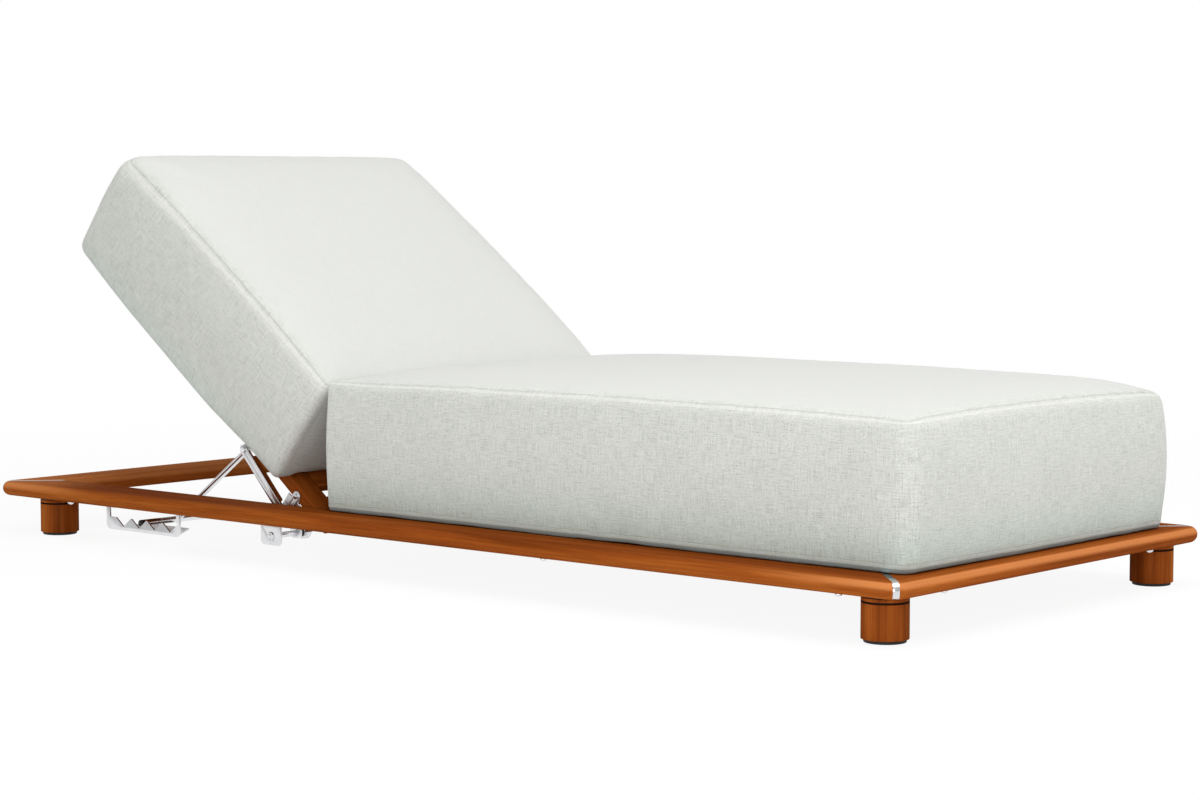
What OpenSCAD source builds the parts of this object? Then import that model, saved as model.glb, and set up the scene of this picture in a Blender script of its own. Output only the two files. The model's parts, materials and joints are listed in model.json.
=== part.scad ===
// Spa relaxation lounger: a low teak frame on four round legs, a slatted seat, a back that
// tilts on two side hinges and is held by a bail in a pair of notched racks, and two thick
// loose cushions.
// +X is the foot end, -Y is the near side and +Z is up. The origin is on the floor, under the
// middle of the frame.

/* [Frame] */
// Length of the teak frame
frame_l = 2100; // [1900:10:2300]
// Width of the teak frame
frame_w = 893; // [820:1:980]
// Width of each frame rail in plan
rail_w = 92; // [88:1:110]
// Thickness of the frame rails; their outer edge is a full half round
rail_t = 27; // [22:1:34]
// Corner radius of the frame in plan
corner_r = 30; // [24:1:44]
// Width of the steel inlay across each mitre
inlay_w = 10; // [5:0.5:16]

/* [Legs] */
// Diameter of a leg
leg_d = 72; // [60:1:80]
// Height of the wooden part of a leg
leg_h = 62; // [58:1:80]
// Height of the rubber glide under a leg
glide_h = 5; // [3:0.5:9]
// Thickness of the black ring between leg and rail
spacer_t = 4; // [1:0.5:5]
// Distance from the foot end of the frame to the axis of the foot legs
foot_leg_inset = 64; // [56:1:110]
// Distance from the head end of the frame to the axis of the head legs
head_leg_inset = 116; // [100:1:150]
// Distance from the side of the frame to the axis of a leg
side_leg_inset = 60; // [52:1:64]

/* [Cushions] */
// Distance from the side of the frame to the cushions
cushion_inset = 75; // [70:1:84]
// Thickness of the seat cushion at its corners
seat_cushion_t = 226; // [160:1:240]
// Distance from the foot end of the frame to the seat cushion
seat_cushion_inset = 37; // [30:1:60]
// Length by which the back cushion, laid flat, ends short of the back panel
back_cushion_short = 44; // [20:1:90]
// Gap between the two cushions when the back is laid flat
cushion_gap = 1; // [0.6:0.1:3]
// Thickness of the back cushion at its lower corners
back_cushion_t = 218; // [160:1:222]
// Length by which the back cushion is thinner at the corners of its head end
back_cushion_taper = 14; // [0:1:24]
// Rise of the cushion faces from their seams to the middle
cushion_crown = 25; // [10:1:34]
// Rise of the seams from the corners to the middle of each side
cushion_bow = 6; // [0:1:14]
// Corner radius of the cushions in plan
cushion_corner_r = 22; // [18:1:45]
// Radius of the cushion edges along the seams
cushion_edge_r = 12; // [8:1:20]
// Radius of the lower edges of the back cushion
back_under_r = 29; // [27:1:32]
// Depth by which the cushion sides are drawn in at the seams and between the corners
cushion_draw = 5; // [1:0.5:8]

/* [Backrest] */
// Incline of the back at rest, in degrees
rest_angle = 38; // [30:1:44]
// Distance from the head end of the frame to the hinge axis
hinge_from_head = 744; // [700:1:790]
// Distance from the hinge axis to the rear end of the seat cushion
hinge_back = 97; // [94:1:112]
// Distance from the hinge axis to the upper face of the back panel
panel_rise = 48; // [46:0.5:52]
// Thickness of the back panel
panel_t = 24; // [18:1:26]
// Gap between the back panel, laid flat, and the head rail
panel_end_gap = 12; // [8:1:60]
// Length of the back panel below the hinge axis
panel_tail = 34; // [20:1:36]
// Gap between the back panel and a side rail, which holds the steel arm
panel_side_gap = 26.5; // [25.5:0.5:34]
// Width of a back stile
stile_w = 46; // [34:1:60]
// Distance from the hinge axis to the lower end of the back cushion, along the back
back_cushion_s = 83; // [80:1:90]

/* [Slats] */
// Width of a seat or back slat
slat_w = 62; // [40:1:80]
// Least gap between two slats
slat_gap = 14; // [8:1:24]
// Thickness of a slat
slat_t = 14; // [10:1:16]
// Width of the ledger under the slat ends
ledger_w = 18; // [14:1:26]
// Width of the cross rail behind the seat slats
cross_rail_w = 40; // [30:1:44]
// Depth of the cross rail's upper face below the deck
cross_rail_drop = 7; // [6:0.5:10]

/* [Steel support] */
// Distance from the hinge axis to the knuckle that carries the bail
knuckle_reach = 211.5; // [190:0.5:225]
// Angle of the knuckle above the slope of the back, in degrees
knuckle_lift = 2.6; // [1.5:0.1:4]
// Width of the steel arms
arm_w = 17; // [10:0.5:20]
// Thickness of the steel arms
arm_t = 5; // [4:0.5:6]
// Thickness of plates, brackets and racks
plate_t = 3; // [2:0.5:4]
// Diameter of the bail rods
rod_d = 10.5; // [7:0.5:12]
// Diameter of the bail's cross tube
tube_d = 12; // [10:0.5:14]
// Length of the bail from knuckle to cross tube
bail_l = 245; // [230:0.5:260]
// Diameter of the hinge bolts
hinge_bolt_d = 10; // [8:0.5:12]
// Diameter of the knuckle pins
knuckle_pin_d = 6; // [5:0.5:7]
// Radial running clearance of pins and bolts
fit_gap = 0.06; // [0.02:0.01:0.1]

/* [Racks] */
// Distance from the flattest notch to the head end of the rack
rack_head = 48; // [44:1:60]
// Distance from the steepest notch to the foot end of the rack
rack_foot = 27; // [24:1:40]
// Distance between two notches
notch_pitch = 44; // [42:0.5:46]
// Depth of a notch
notch_deep = 16; // [10:0.5:18]
// Height of the rack's underside over the floor
rack_z = 27; // [24:0.5:28]
// Height of the notch bottoms over the floor
notch_z = 34; // [33:0.5:35]
// Depth of the rack floor towards the middle
rack_deep = 86; // [60:1:95]
// Length by which the rack floor is cut back at its inner corner
rack_taper = 62; // [20:1:90]

/* [Hidden] */
$fn = 48;

near = -1;
far = 1;
sides = [near, far];
overrun = 1;
// Clearance between a soft solid and what carries it
soft_gap = 0.3;
// Clearance between plates that turn past each other
turn_gap = 0.4;

teak = "#B5652B";
teak_dark = "#8A4518";
steel = "#C8C8CC";
black = "#1E1E1E";
cloth = "#D4D7D1";

bull_r = rail_t / 2;
rail_z = glide_h + leg_h + spacer_t;
deck_z = rail_z + rail_t;
hinge_z = deck_z - panel_rise;
inner_y = frame_w / 2 - rail_w;
head_inner_x = -frame_l / 2 + rail_w;
foot_inner_x = frame_l / 2 - rail_w;

seat_foot_x = frame_l / 2 - seat_cushion_inset;
hinge_x = -frame_l / 2 + hinge_from_head;
seat_rear_x = hinge_x + hinge_back;
seat_cushion_l = seat_foot_x - seat_rear_x;
cushion_w = frame_w - 2 * cushion_inset;
panel_l = hinge_from_head - rail_w - panel_end_gap;
panel_w = 2 * (inner_y - panel_side_gap);
back_cushion_l = panel_l + hinge_back - cushion_gap - back_cushion_short;

leg_foot_x = frame_l / 2 - foot_leg_inset;
leg_head_x = -frame_l / 2 + head_leg_inset;
leg_y = frame_w / 2 - side_leg_inset;
glide_inset = 4;
glide_d = leg_d - 2 * glide_inset;
leg_screw_d = 8;
leg_screw_in_leg = 40;
leg_screw_in_rail = 18;
// Distance of the two screws of a leg from its axis, across the mitre
leg_screw_off = 15;

// Sideways stack of the steel support: plates and arm outside the back stile, bail inside
panel_y = panel_w / 2;
plate_y = panel_y + plate_t;
arm_y = plate_y + arm_t;
eye_outer_y = panel_y - turn_gap;
eye_y = eye_outer_y - rod_d;
rod_y = eye_outer_y - rod_d / 2;
pin_inner_y = eye_y - turn_gap;
pin_head_t = 2.6;
pin_head_r = 6;

// Knuckle axis in the frame of the back: along the slope, and square to it
knuckle_s = knuckle_reach * cos(knuckle_lift);
knuckle_o = knuckle_reach * sin(knuckle_lift);
eye_r = 8.5;
// Bend of the arm, where it turns to the hinge axis
bend_s = 60;
bend_o = -14;
hinge_eye_r = 12;
bush_wall = 2;
boss_l = 6;

// World place of the knuckle and of the cross tube at rest
knuckle_x = hinge_x - knuckle_s * cos(rest_angle) + knuckle_o * sin(rest_angle);
knuckle_z = hinge_z + knuckle_s * sin(rest_angle) + knuckle_o * cos(rest_angle);
// The cross tube hangs just clear of the two flanks of its notch
notch_w = 20.7;
tube_lift = 2;
tube_z = notch_z + tube_lift + tube_d / 2 / sin(atan(notch_w / notch_deep));
bail_dip = asin((knuckle_z - tube_z) / bail_l);
tube_x = knuckle_x - bail_l * cos(bail_dip);

// Outer plane of the racks and hinge brackets, inset under the half round edge
steel_inset = 30;
wall_y = frame_w / 2 - steel_inset;
cap_gap = 0.4;
cap_t = 8;
tube_y = wall_y - plate_t - cap_gap;

screw_head_d = 10;
screw_head_h = 3;
screw_shank_d = 5;
screw_shank_l = 16;
cap_screw_d = 12;
cap_screw_h = 5;
cap_screw_inset = 19;

// Places
module mirror_sides() {
    for (side = sides) scale_side(side) children();
}

module scale_side(side) {
    mirror([0, side == far ? 0 : 1, 0]) children();
}

// Frame of the back: X runs up the slope, Z square to it, with the hinge axis at the origin
module on_back() {
    translate([hinge_x, 0, hinge_z]) rotate([0, rest_angle, 0]) mirror([1, 0, 0]) children();
}

// A disc along Y between two planes
module disc_y(r, y0, y1) {
    translate([0, y0, 0]) rotate([-90, 0, 0]) cylinder(r = r, h = y1 - y0);
}

// An outline in X and Z, thickened from y0 to y1
module plate_xz(y0, y1) {
    translate([0, y1, 0]) rotate([90, 0, 0]) linear_extrude(y1 - y0) children();
}

// A flat bar with round ends between two points
module bar_2d(a, b, w) {
    run = norm(b - a);
    tilt = atan2(b[1] - a[1], b[0] - a[0]);
    translate(a) rotate(tilt) translate([0, -w / 2]) square([run, w]);
    translate(a) circle(d = w);
    translate(b) circle(d = w);
}

// Frame
module rail_section() {
    translate([-rail_w, 0]) square([rail_w - bull_r, rail_t]);
    translate([-bull_r, bull_r]) circle(r = bull_r);
}

// Quarter of a disc with the same half round edge, for one corner in plan
module corner_quarter() {
    rotate_extrude(angle = 90) {
        square([corner_r - bull_r, rail_t]);
        intersection() {
            translate([corner_r - bull_r, bull_r]) circle(r = bull_r);
            translate([corner_r - bull_r, 0]) square([bull_r, rail_t]);
        }
    }
}

// A straight rail along X with its outer edge at +Y
module rail_body(l, w) {
    straight = l - 2 * corner_r;
    translate([-straight / 2, w / 2, rail_z]) rotate([90, 0, 90]) linear_extrude(straight) rail_section();
    for (end = [0, 1]) mirror([end, 0, 0])
        translate([straight / 2, w / 2 - corner_r, rail_z]) corner_quarter();
}

// Plan of what one rail keeps between its two mitres
module mitre_plan(l, w, cut) {
    slope = cut / 2 * sqrt(2);
    polygon([
        [-l / 2 + slope - overrun, w / 2 + overrun], [l / 2 - slope + overrun, w / 2 + overrun],
        [l / 2 - slope - rail_w - overrun, w / 2 - rail_w - overrun],
        [-l / 2 + slope + rail_w + overrun, w / 2 - rail_w - overrun]
    ]);
}

module mitred_rail(l, w) {
    intersection() {
        rail_body(l, w);
        translate([0, 0, rail_z - overrun])
            linear_extrude(rail_t + 2 * overrun) mitre_plan(l, w, inlay_w);
    }
}

module side_rail(side) {
    color(teak) difference() {
        scale_side(side) mitred_rail(frame_l, frame_w);
        leg_screws_cut();
    }
}

module end_rail(end) {
    color(teak) difference() {
        mirror([end, 0, 0]) rotate([0, 0, -90]) mitred_rail(frame_w, frame_l);
        leg_screws_cut();
    }
}

module side_rail_near() { side_rail(near); }

module side_rail_far() { side_rail(far); }

module foot_rail() { end_rail(0); }

module head_rail() { end_rail(1); }

// Steel band flush in each mitre, round the half round edge
module corner_inlays() {
    band_l = (rail_w + overrun) * sqrt(2);
    color(steel) for (flip_x = [0, 1], flip_y = [0, 1]) mirror([flip_x, 0, 0]) mirror([0, flip_y, 0])
        intersection() {
            union() {
                translate([frame_l / 2 - rail_w, frame_w / 2, rail_z]) rotate([90, 0, 90])
                    linear_extrude(rail_w - corner_r) rail_section();
                translate([frame_l / 2, frame_w / 2 - corner_r, rail_z]) rotate([90, 0, 0])
                    linear_extrude(rail_w - corner_r) rail_section();
                translate([frame_l / 2 - corner_r, frame_w / 2 - corner_r, rail_z]) corner_quarter();
            }
            translate([frame_l / 2, frame_w / 2, rail_z - overrun]) rotate([0, 0, -135])
                translate([0, -inlay_w / 2, 0]) cube([rail_w * sqrt(2), inlay_w, rail_t + 2 * overrun]);
        }
}

// Legs
module at_legs() {
    for (x = [leg_head_x, leg_foot_x], side = sides) translate([x, side * leg_y, 0]) children();
}

// The two screws of every leg, set across the diagonal so that they clear the steel inlay
module leg_screws_cut() {
    at_legs_flipped() for (end = [-1, 1])
        translate([end * leg_screw_off, -end * leg_screw_off, glide_h + leg_h - leg_screw_in_leg])
            cylinder(d = leg_screw_d, h = leg_screw_in_leg + spacer_t + leg_screw_in_rail);
}

module at_legs_flipped() {
    for (side = sides) scale_side(side) {
        translate([leg_foot_x, leg_y, 0]) children();
        translate([leg_head_x, leg_y, 0]) children();
    }
}

module leg(x, side) {
    color(teak_dark) difference() {
        translate([x, side * leg_y, glide_h]) cylinder(d = leg_d, h = leg_h, $fn = 96);
        leg_screws_cut();
    }
}

module leg_foot_near() { leg(leg_foot_x, near); }

module leg_foot_far() { leg(leg_foot_x, far); }

module leg_head_near() { leg(leg_head_x, near); }

module leg_head_far() { leg(leg_head_x, far); }

module leg_spacers() {
    color(black) difference() {
        at_legs() translate([0, 0, glide_h + leg_h]) cylinder(d = leg_d - spacer_t, h = spacer_t, $fn = 96);
        leg_screws_cut();
    }
}

module leg_screws() {
    color(steel) leg_screws_cut();
}

module leg_glides() {
    color(black) at_legs() cylinder(d = glide_d, h = glide_h, $fn = 96);
}

// Steel cap nuts under the rails
cap_screw_side_shares = [-0.808, 0.333, 0.887];
cap_screw_end_share = 0.672;

module cap_screw() {
    translate([0, 0, -cap_screw_h / 2]) cylinder(d = cap_screw_d, h = cap_screw_h / 2);
    translate([0, 0, -cap_screw_h]) cylinder(d1 = cap_screw_d / 2, d2 = cap_screw_d, h = cap_screw_h / 2);
}

module rail_cap_screws() {
    screw_y = frame_w / 2 - cap_screw_inset;
    screw_x = frame_l / 2 - cap_screw_inset;
    color(steel) translate([0, 0, rail_z]) {
        for (share = cap_screw_side_shares, side = sides)
            translate([share * frame_l / 2, side * screw_y, 0]) cap_screw();
        for (end = [-1, 1], side = sides)
            translate([end * screw_x, side * cap_screw_end_share * frame_w / 2, 0]) cap_screw();
    }
}

// Seat deck
cross_rail_gap = 8;
seat_cross_x = seat_rear_x - cross_rail_w + cross_rail_gap;
seat_deck_l = foot_inner_x - seat_cross_x - cross_rail_w;
seat_slat_count = floor((seat_deck_l - slat_gap) / (slat_w + slat_gap));
seat_slat_pitch = (seat_deck_l + slat_w) / (seat_slat_count + 1);

module slat_ledgers() {
    ledger_l = seat_deck_l;
    color(teak) mirror_sides() translate([foot_inner_x - ledger_l, inner_y - ledger_w, rail_z])
        cube([ledger_l, ledger_w, rail_t - slat_t]);
}

module seat_slats() {
    color(teak) for (i = [1 : seat_slat_count])
        translate([foot_inner_x - seat_deck_l + i * seat_slat_pitch - slat_w, -inner_y, deck_z - slat_t])
            cube([slat_w, 2 * inner_y, slat_t]);
}

module seat_cross_rail() {
    color(teak) translate([seat_cross_x, -inner_y, rail_z])
        cube([cross_rail_w, 2 * inner_y, rail_t - cross_rail_drop]);
}

// Racks
strap_w = 10;
rack_corner_r = 12;
notch_flare = 1.1;
flange_w = 24;
notch_shares = [-1, 0, 1, 2];
rest_notch = rack_head - notch_shares[0] * notch_pitch;
rack_l = rest_notch + notch_shares[len(notch_shares) - 1] * notch_pitch + rack_foot;
rack_x0 = tube_x - rest_notch;

module rack_wall_2d() {
    difference() {
        union() {
            translate([0, rack_corner_r]) square([rack_l, rail_z - rack_z - rack_corner_r]);
            translate([rack_corner_r, 0]) square([rack_l - 2 * rack_corner_r, rack_corner_r + overrun]);
            for (x = [rack_corner_r, rack_l - rack_corner_r]) translate([x, rack_corner_r])
                circle(r = rack_corner_r);
        }
        translate([strap_w, notch_z + notch_deep - rack_z])
            square([rack_l - 2 * strap_w, rail_z - rack_z + overrun]);
        for (share = notch_shares) translate([rest_notch + share * notch_pitch, notch_z - rack_z]) {
            polygon([for (side = [0, near, far]) [side * notch_w, abs(side) * notch_deep] * notch_flare]);
        }
    }
}

module rack(side) {
    color(steel) scale_side(side) translate([rack_x0, 0, rack_z]) {
        plate_xz(wall_y - plate_t, wall_y) rack_wall_2d();
        linear_extrude(plate_t) polygon([
            [rack_corner_r, wall_y - plate_t / 2], [rack_l - rack_corner_r, wall_y - plate_t / 2],
            [rack_l - rack_corner_r - rack_taper, wall_y - rack_deep], [rack_corner_r, wall_y - rack_deep]
        ]);
        for (x = [0, rack_l - strap_w]) translate([x, wall_y - plate_t - flange_w, rail_z - rack_z - plate_t])
            difference() {
                cube([strap_w, flange_w + plate_t / 2, plate_t]);
                translate([strap_w / 2, flange_w / 2, -overrun])
                    cylinder(d = screw_shank_d, h = plate_t + 2 * overrun);
            }
    }
}

module rack_near() { rack(near); }

module rack_far() { rack(far); }

// A screw up into a rail, with its head under a plate
module rail_screw() {
    translate([0, 0, -plate_t - screw_head_h]) cylinder(d = screw_head_d, h = screw_head_h);
    translate([0, 0, -plate_t]) cylinder(d = screw_shank_d, h = plate_t);
}

module rack_screws() {
    color(steel) mirror_sides() for (x = [strap_w / 2, rack_l - strap_w / 2])
        translate([rack_x0 + x, wall_y - plate_t - flange_w / 2, rail_z]) rail_screw();
}

// Hinge brackets: a channel under each side rail with an ear on both sides
bracket_w = 52;
bracket_inner_w = 28;
bracket_corner_r = 9;
bracket_below = 16;
bracket_inner_below = 9;
hinge_drop = rail_z - hinge_z;
bracket_inner_y = inner_y + plate_t;
bracket_screw_y = (wall_y + bracket_inner_y) / 2;

module bracket_ear_2d(w, drop) {
    translate([-w / 2, -drop + bracket_corner_r]) square([w, drop - bracket_corner_r]);
    translate([-w / 2 + bracket_corner_r, -drop]) square([w - 2 * bracket_corner_r, bracket_corner_r + overrun]);
    for (side = sides) translate([side * (w / 2 - bracket_corner_r), -drop + bracket_corner_r])
        circle(r = bracket_corner_r);
}

module hinge_bracket(side) {
    color(steel) scale_side(side) translate([hinge_x, 0, rail_z]) difference() {
        union() {
            plate_xz(wall_y - plate_t, wall_y) bracket_ear_2d(bracket_w, hinge_drop + bracket_below);
            plate_xz(bracket_inner_y - plate_t, bracket_inner_y)
                bracket_ear_2d(bracket_inner_w, hinge_drop + bracket_inner_below);
            translate([-bracket_w / 2, bracket_inner_y - overrun, -plate_t])
                cube([bracket_w, wall_y - bracket_inner_y - plate_t + 2 * overrun, plate_t]);
        }
        translate([0, 0, hinge_z - rail_z])
            disc_y(hinge_bolt_d / 2, bracket_inner_y - plate_t - overrun, wall_y + overrun);
        translate([0, bracket_screw_y, -plate_t - overrun])
            cylinder(d = screw_shank_d, h = plate_t + 2 * overrun);
    }
}

module hinge_bracket_near() { hinge_bracket(near); }

module hinge_bracket_far() { hinge_bracket(far); }

module bracket_screws() {
    color(steel) mirror_sides() translate([hinge_x, bracket_screw_y, rail_z]) rail_screw();
}

bolt_head_d = 16;
bolt_head_h = 1.6;
bolt_dot_d = 3;
bolt_dot_off = 4.2;
bolt_dot_deep = 1.2;
hinge_nut_t = 6;
hinge_nut_w = 17;

// A bolt from its low domed head outside the bracket to its nut inside the arm
module hinge_bolt(side) {
    nut_y = plate_y - hinge_nut_t;
    color(steel) scale_side(side) translate([hinge_x, 0, hinge_z]) {
        disc_y(hinge_bolt_d / 2, nut_y, wall_y);
        difference() {
            translate([0, wall_y, 0]) rotate([-90, 0, 0])
                cylinder(d1 = bolt_head_d, d2 = bolt_head_d * 9 / 10, h = bolt_head_h);
            for (dot = sides) translate([0, 0, dot * bolt_dot_off])
                disc_y(bolt_dot_d / 2, wall_y + bolt_head_h - bolt_dot_deep, wall_y + bolt_head_h + overrun);
        }
    }
}

module hinge_bolt_near() { hinge_bolt(near); }

module hinge_bolt_far() { hinge_bolt(far); }

module hinge_nuts() {
    color(steel) mirror_sides() translate([hinge_x, plate_y - hinge_nut_t - turn_gap, hinge_z]) rotate([-90, 0, 0])
        difference() {
            cylinder(d = hinge_nut_w, h = hinge_nut_t, $fn = 6);
            translate([0, 0, -overrun]) cylinder(d = hinge_bolt_d, h = hinge_nut_t + 2 * overrun);
        }
}

// Back panel
panel_o = panel_rise - panel_t;
back_bottom_w = 70;
back_top_w = 60;
back_slat_o = panel_rise - slat_t;
tongue = 10;

module stile(side) {
    color(teak) on_back() scale_side(side) translate([-panel_tail, panel_y - stile_w, panel_o])
        cube([panel_l + panel_tail, stile_w, panel_t]);
}

module back_stile_near() { stile(near); }

module back_stile_far() { stile(far); }

module back_cross_rail(s, w) {
    color(teak) on_back() translate([s, -panel_y + stile_w, panel_o]) cube([w, panel_w - 2 * stile_w, panel_t]);
}

module back_bottom_rail() { back_cross_rail(-panel_tail, back_bottom_w); }

module back_top_rail() { back_cross_rail(panel_l - back_top_w, back_top_w); }

back_deck_s = back_bottom_w - panel_tail;
back_deck_l = panel_l - back_top_w - back_deck_s;
back_slat_count = floor((back_deck_l - slat_gap) / (slat_w + slat_gap));
back_slat_pitch = (back_deck_l + slat_w) / (back_slat_count + 1);

module back_slats() {
    color(teak) on_back() for (i = [1 : back_slat_count])
        translate([back_deck_s + i * back_slat_pitch - slat_w, -panel_y + stile_w, back_slat_o])
            cube([slat_w, panel_w - 2 * stile_w, slat_t]);
}

// Steel arms of the back
module arm(side) {
    color(steel) on_back() scale_side(side) difference() {
        union() {
            plate_xz(plate_y, arm_y) {
                bar_2d([knuckle_s, knuckle_o], [bend_s, bend_o], arm_w);
                bar_2d([bend_s, bend_o], [0, 0], arm_w);
                translate([knuckle_s, knuckle_o]) circle(r = eye_r);
                circle(r = hinge_eye_r);
            }
            disc_y(hinge_eye_r, arm_y, arm_y + boss_l);
        }
        disc_y(hinge_bolt_d / 2 + bush_wall, plate_y - overrun, arm_y + boss_l + overrun);
        translate([knuckle_s, 0, knuckle_o]) disc_y(knuckle_pin_d / 2, plate_y - overrun, arm_y + overrun);
        for (hole = arm_holes) translate([hole[0], 0, hole[1]])
            disc_y(screw_shank_d / 2, plate_y - overrun, arm_y + overrun);
    }
}

module arm_near() { arm(near); }

module arm_far() { arm(far); }

module hinge_bushes() {
    color(black) on_back() mirror_sides() difference() {
        disc_y(hinge_bolt_d / 2 + bush_wall, plate_y, arm_y + boss_l);
        disc_y(hinge_bolt_d / 2 + fit_gap, plate_y - overrun, arm_y + boss_l + overrun);
    }
}

// Teak lath along the inner face of each arm, standing proud of its upper edge
batten_w = 16;
batten_t = 9;
batten_low_share = 0.18;
batten_high_share = 0.86;
arm_run = [knuckle_s - bend_s, knuckle_o - bend_o];
arm_slope = atan2(arm_run[1], arm_run[0]);

module arm_batten(side) {
    color(teak) on_back() scale_side(side) translate([bend_s, plate_y - batten_t, bend_o]) rotate([0, -arm_slope, 0])
        translate([batten_low_share * norm(arm_run), 0, -arm_w / 2])
            cube([(batten_high_share - batten_low_share) * norm(arm_run), batten_t, batten_w]);
}

module arm_batten_near() { arm_batten(near); }

module arm_batten_far() { arm_batten(far); }

// Heel plate from the arm to the side of the stile, near the hinge
heel_w = 38;
heel_set = 2;
heel_s = bend_s - heel_set;
heel_bolt_o = panel_o + panel_t / 3;
heel_foot_o = bend_o + heel_set;
ear_w = 20;
ear_set = 4;
ear_s = knuckle_s - ear_set;
ear_bolt_o = panel_o + panel_t / 2;
arm_holes = [[heel_s, heel_foot_o]];
stile_holes = [[heel_s, heel_bolt_o], [ear_s, ear_bolt_o]];

module heel_plate(side) {
    color(steel) on_back() scale_side(side) difference() {
        plate_xz(panel_y, plate_y) {
            bar_2d([heel_s, heel_foot_o], [heel_s, heel_bolt_o], heel_w / 2);
            translate([heel_s - heel_w / 2, bend_o]) square([heel_w, panel_o - bend_o]);
        }
        for (o = [heel_foot_o, heel_bolt_o]) translate([heel_s, 0, o])
            disc_y(screw_shank_d / 2, panel_y - overrun, plate_y + overrun);
    }
}

module heel_plate_near() { heel_plate(near); }

module heel_plate_far() { heel_plate(far); }

// Ear that ties the upper end of each arm to its stile
module knuckle_ears() {
    color(steel) on_back() mirror_sides() difference() {
        plate_xz(panel_y, plate_y) bar_2d([knuckle_s, knuckle_o], [ear_s, ear_bolt_o], 2 * eye_r);
        translate([knuckle_s, 0, knuckle_o]) disc_y(knuckle_pin_d / 2, panel_y - overrun, plate_y + overrun);
        translate([ear_s, 0, ear_bolt_o]) disc_y(screw_shank_d / 2, panel_y - overrun, plate_y + overrun);
    }
}

// Bolts of the heel plates and ears, with round heads outside
module arm_bolts() {
    color(steel) on_back() mirror_sides() {
        for (hole = stile_holes) translate([hole[0], 0, hole[1]]) {
            disc_y(screw_shank_d / 2, panel_y, plate_y);
            disc_y(screw_head_d / 2, plate_y, plate_y + screw_head_h);
        }
        for (hole = arm_holes) translate([hole[0], 0, hole[1]]) {
            disc_y(screw_shank_d / 2, panel_y, arm_y);
            disc_y(screw_head_d / 2, arm_y, arm_y + screw_head_h);
        }
    }
}

module knuckle_pins() {
    color(steel) on_back() mirror_sides() translate([knuckle_s, 0, knuckle_o]) {
        disc_y(knuckle_pin_d / 2, pin_inner_y, arm_y);
        disc_y(pin_head_r, pin_inner_y - pin_head_t, pin_inner_y);
        disc_y(pin_head_r, arm_y, arm_y + pin_head_t);
    }
}

// Bail: two rods with an eye at the knuckles and a cross tube that rests in the notches
module bail() {
    color(steel) difference() {
        union() {
            mirror_sides() {
                translate([knuckle_x, rod_y, knuckle_z]) rotate([0, -90 - bail_dip, 0])
                    cylinder(d = rod_d, h = bail_l);
                translate([knuckle_x, 0, knuckle_z]) disc_y(eye_r, eye_y, eye_outer_y);
            }
            translate([tube_x, 0, tube_z]) disc_y(tube_d / 2, -tube_y + cap_t, tube_y - cap_t);
        }
        mirror_sides() translate([knuckle_x, 0, knuckle_z])
            disc_y(knuckle_pin_d / 2 + fit_gap, eye_y - overrun, eye_outer_y + overrun);
    }
}

module bail_end_caps() {
    color(black) mirror_sides() translate([tube_x, 0, tube_z]) disc_y(tube_d / 2, tube_y - cap_t, tube_y);
}

// Cushions: rings of points on a rounded plan, one ring per level, closed by two caps
corner_steps = 5;
side_steps = 7;
end_steps = 5;
face_shares = [0.94, 0.84, 0.68, 0.45, 0.2];
under_shares = [0.2, 0.6];
crown_power = 8;
cross_power = 3;

function rounded_plan(a, b, r) = [
    for (q = [0 : 3], i = [0 : corner_steps + (q % 2 == 0 ? side_steps : end_steps) - 1])
        let (
            sx = (q == 0 || q == 3) ? 1 : -1,
            sy = q < 2 ? 1 : -1,
            turn = q * 90 + min(i, corner_steps) * 90 / corner_steps,
            share = max(0, i - corner_steps) / (q % 2 == 0 ? side_steps : end_steps),
            corner = [sx * (a - r) + r * cos(turn), sy * (b - r) + r * sin(turn)],
            gone = q % 2 == 0 ? [-2 * sx * (a - r) * share, 0] : [0, -2 * sy * (b - r) * share]
        ) corner + gone
];

function bow(u, power) = 1 - pow(min(1, abs(u)), power);

// Height of the upper face: at its corners it falls by the taper from one end to the other
function top_z(p, a, b, t, taper) =
    t - taper * (p[0] / a + 1) / 2
    + cushion_bow * (bow(p[0] / a, 2) + bow(p[1] / b, 2))
    + cushion_crown * bow(p[0] / a, crown_power) * bow(p[1] / b, cross_power);

// A plan point drawn in by d, with a little more between the corners
function drawn(p, a, b, d) = [
    p[0] * (a - d - cushion_draw * bow(p[1] / b, 2) / 2) / a,
    p[1] * (b - d - cushion_draw * bow(p[0] / a, 2) / 2) / b
];

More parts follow.
